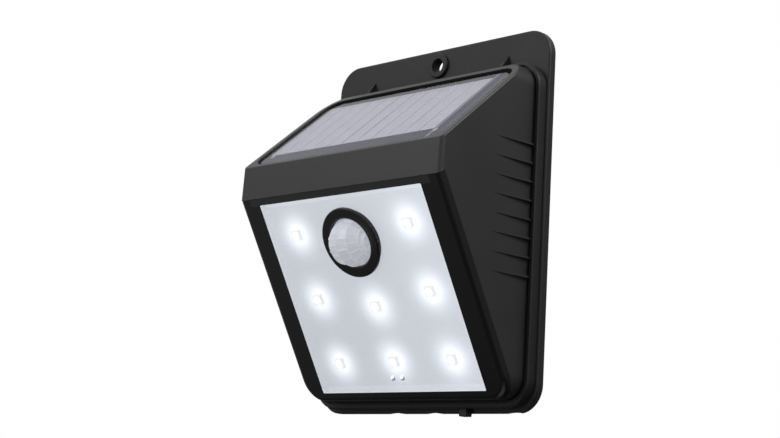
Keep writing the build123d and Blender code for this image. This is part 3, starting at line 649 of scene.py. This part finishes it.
laminate = Finish("panel_board")
side = laminate.along((1, 0, 0))
glass_weave = laminate.noise(1400, 3)
edge_band = side > BAND_END
busbar = (side > CELL_RIGHT) * (side < BAND_START)
dark = laminate.mix(glass_weave, paint(0.010, 0.010, 0.045), paint(0.018, 0.018, 0.065))
pale = laminate.mix(edge_band, dark, paint(0.045, 0.045, 0.10))
climb = laminate.along(up_slope, BAND_TOP)
between_strips = (side > CELL_LEFT) * (side < CELL_RIGHT) * (climb > CELL_LOW) * (climb < CELL_HIGH)
foil = laminate.mix(between_strips, pale, paint(0.36, 0.36, 0.44))
laminate.surface(
    Base_Color=laminate.mix(busbar, foil, paint(0.22, 0.22, 0.27)),
    Roughness=glass_weave * 0.15 + 0.4,
    Specular_IOR_Level=0.1,
)
dress(laminate, "solar_backing")

ribbon = moulded("ribbon_black", paint(0.014, 0.014, 0.020), 0.35)
dress(ribbon, "solar_ribbons")
tape = moulded("tape", paint(0.05, 0.05, 0.05), 0.85, grain=0.8)
dress(tape, "solar_tape")

# ---------------------------------------------------------------- battery
# One rechargeable cell in a printed shrink sleeve, held on two saddles by a screwed strap, with a
# nickel tab welded to each end.
CELL_END = 31.6 * MM

sleeve = Finish("battery_wrap")
reach = sleeve.along((1, 0, 0))
reach = sleeve.add("ShaderNodeMath", {"operation": "ABSOLUTE"}, {0: reach})
bare = reach > CELL_END
crease = sleeve.noise(500, 4, (0.3, 1, 1))
film = sleeve.mix(crease, paint(0.02, 0.10, 0.16), paint(0.03, 0.13, 0.20))
sleeve.surface(
    Base_Color=sleeve.mix(bare, film, paint(0.60, 0.60, 0.60)),
    Metallic=bare,
    Roughness=crease * 0.15 + 0.22,
    Normal=sleeve.bump(crease, 0.15),
)
dress(sleeve, "battery_cell")
nickel = plated("nickel", paint(0.50, 0.48, 0.44), paint(0.66, 0.64, 0.58), 0.32, 1200, (1, 1, 8))
dress(nickel, "battery_tabs")
dress(moulded("strap_black", paint(0.03, 0.03, 0.03), 0.5), "battery_strap")

# ---------------------------------------------------------------- control board
# Green fibreglass board on four standoffs, with the charging chip, two capacitors and a block of
# small resistors. Copper tracks show through the lacquer as slightly lighter lines.
TRACK_PITCH = 2.54 * MM

board = Finish("board_green")
weave = board.noise(1800, 2)
grid = []
for axis in ((1, 0, 0), (0, 0, 1)):
    step = board.add("ShaderNodeMath", {"operation": "FRACT"}, {0: board.along(axis) / TRACK_PITCH})
    grid.append(step < 0.3)
patch = board.noise(160, 0) > 0.5
track = grid[0] * patch + grid[1] * (1 - patch)
lacquer = board.mix(weave, paint(0.008, 0.085, 0.030), paint(0.012, 0.11, 0.040))
board.surface(
    Base_Color=board.mix(track, lacquer, paint(0.03, 0.19, 0.07)),
    Roughness=weave * 0.1 + 0.25,
    Normal=board.bump(track, 0.25, 0.05 * MM),
)
dress(board, "control_board")

chip_resistor = Finish("resistor_black")
ceramic = chip_resistor.noise(2500, 2)
chip_resistor.surface(
    Base_Color=chip_resistor.mix(ceramic, paint(0.02, 0.02, 0.022), paint(0.05, 0.05, 0.055)),
    Roughness=ceramic * 0.2 + 0.35,
)
dress(chip_resistor, "resistors")

# ---------------------------------------------------------------- screws and seal
# Zinc-plated pan-head screws hold the case, the strap and the board. A black rubber ring lies in
# the pedestal's channel under the case's rim.
zinc = plated("screw_steel", paint(0.45, 0.45, 0.47), paint(0.66, 0.66, 0.67), 0.30, 1600, (1, 5, 1))
dress(zinc, "case_screws", "strap_screws", "board_screws")
dress(moulded("gasket", paint(0.020, 0.020, 0.020), 0.8, grain=0.5), "case_gasket")

# ---------------------------------------------------------------- slide switch
# A small metal-cased switch lies over the slot in the cover's lower edge. Its slider's stem fits a
# ribbed black knob, which is all of it that shows.
dress(moulded("knob_black", paint(0.014, 0.014, 0.014), 0.40, grain=0.3), "switch_knob")
dress(moulded("slider_black", paint(0.03, 0.03, 0.03), 0.5), "switch_slider")

# ---------------------------------------------------------------- leads
# Four pairs of thin hookup wire, stranded copper in a silicone sleeve, red for positive and black
# for negative. Each pair is soldered at both ends and lies loose in the case.
for colour, shade in (("red", paint(0.42, 0.012, 0.010)), ("black", paint(0.012, 0.012, 0.012))):
    silicone = moulded(f"wire_{colour}", shade, 0.5, grain=0.2)
    dress(silicone, *(f"{run}_lead_{colour}" for run in ("solar", "battery", "light", "switch")))

# ---------------------------------------------------------------- floor
# A wide disc of matt pale paper far below the light. The light hangs on a wall that isn't shown, so
# nothing rests on the paper.
floor_mesh = bpy.data.meshes.new("floor")
disc = bmesh.new()
bmesh.ops.create_circle(disc, cap_ends=True, segments=96, radius=FLOOR_RADIUS)
disc.to_mesh(floor_mesh)
disc.free()
floor = bpy.data.objects.new("floor", floor_mesh)
bpy.context.scene.collection.objects.link(floor)
floor.location = (0, 0, -FLOOR_DROP)
paper = Finish("floor_pale")
fibre = paper.noise(6, 2)
paper.surface(
    Base_Color=paper.mix(fibre, paint(0.86, 0.86, 0.86), paint(0.90, 0.90, 0.90)),
    Roughness=0.9,
)
floor_mesh.materials.append(paper.material)
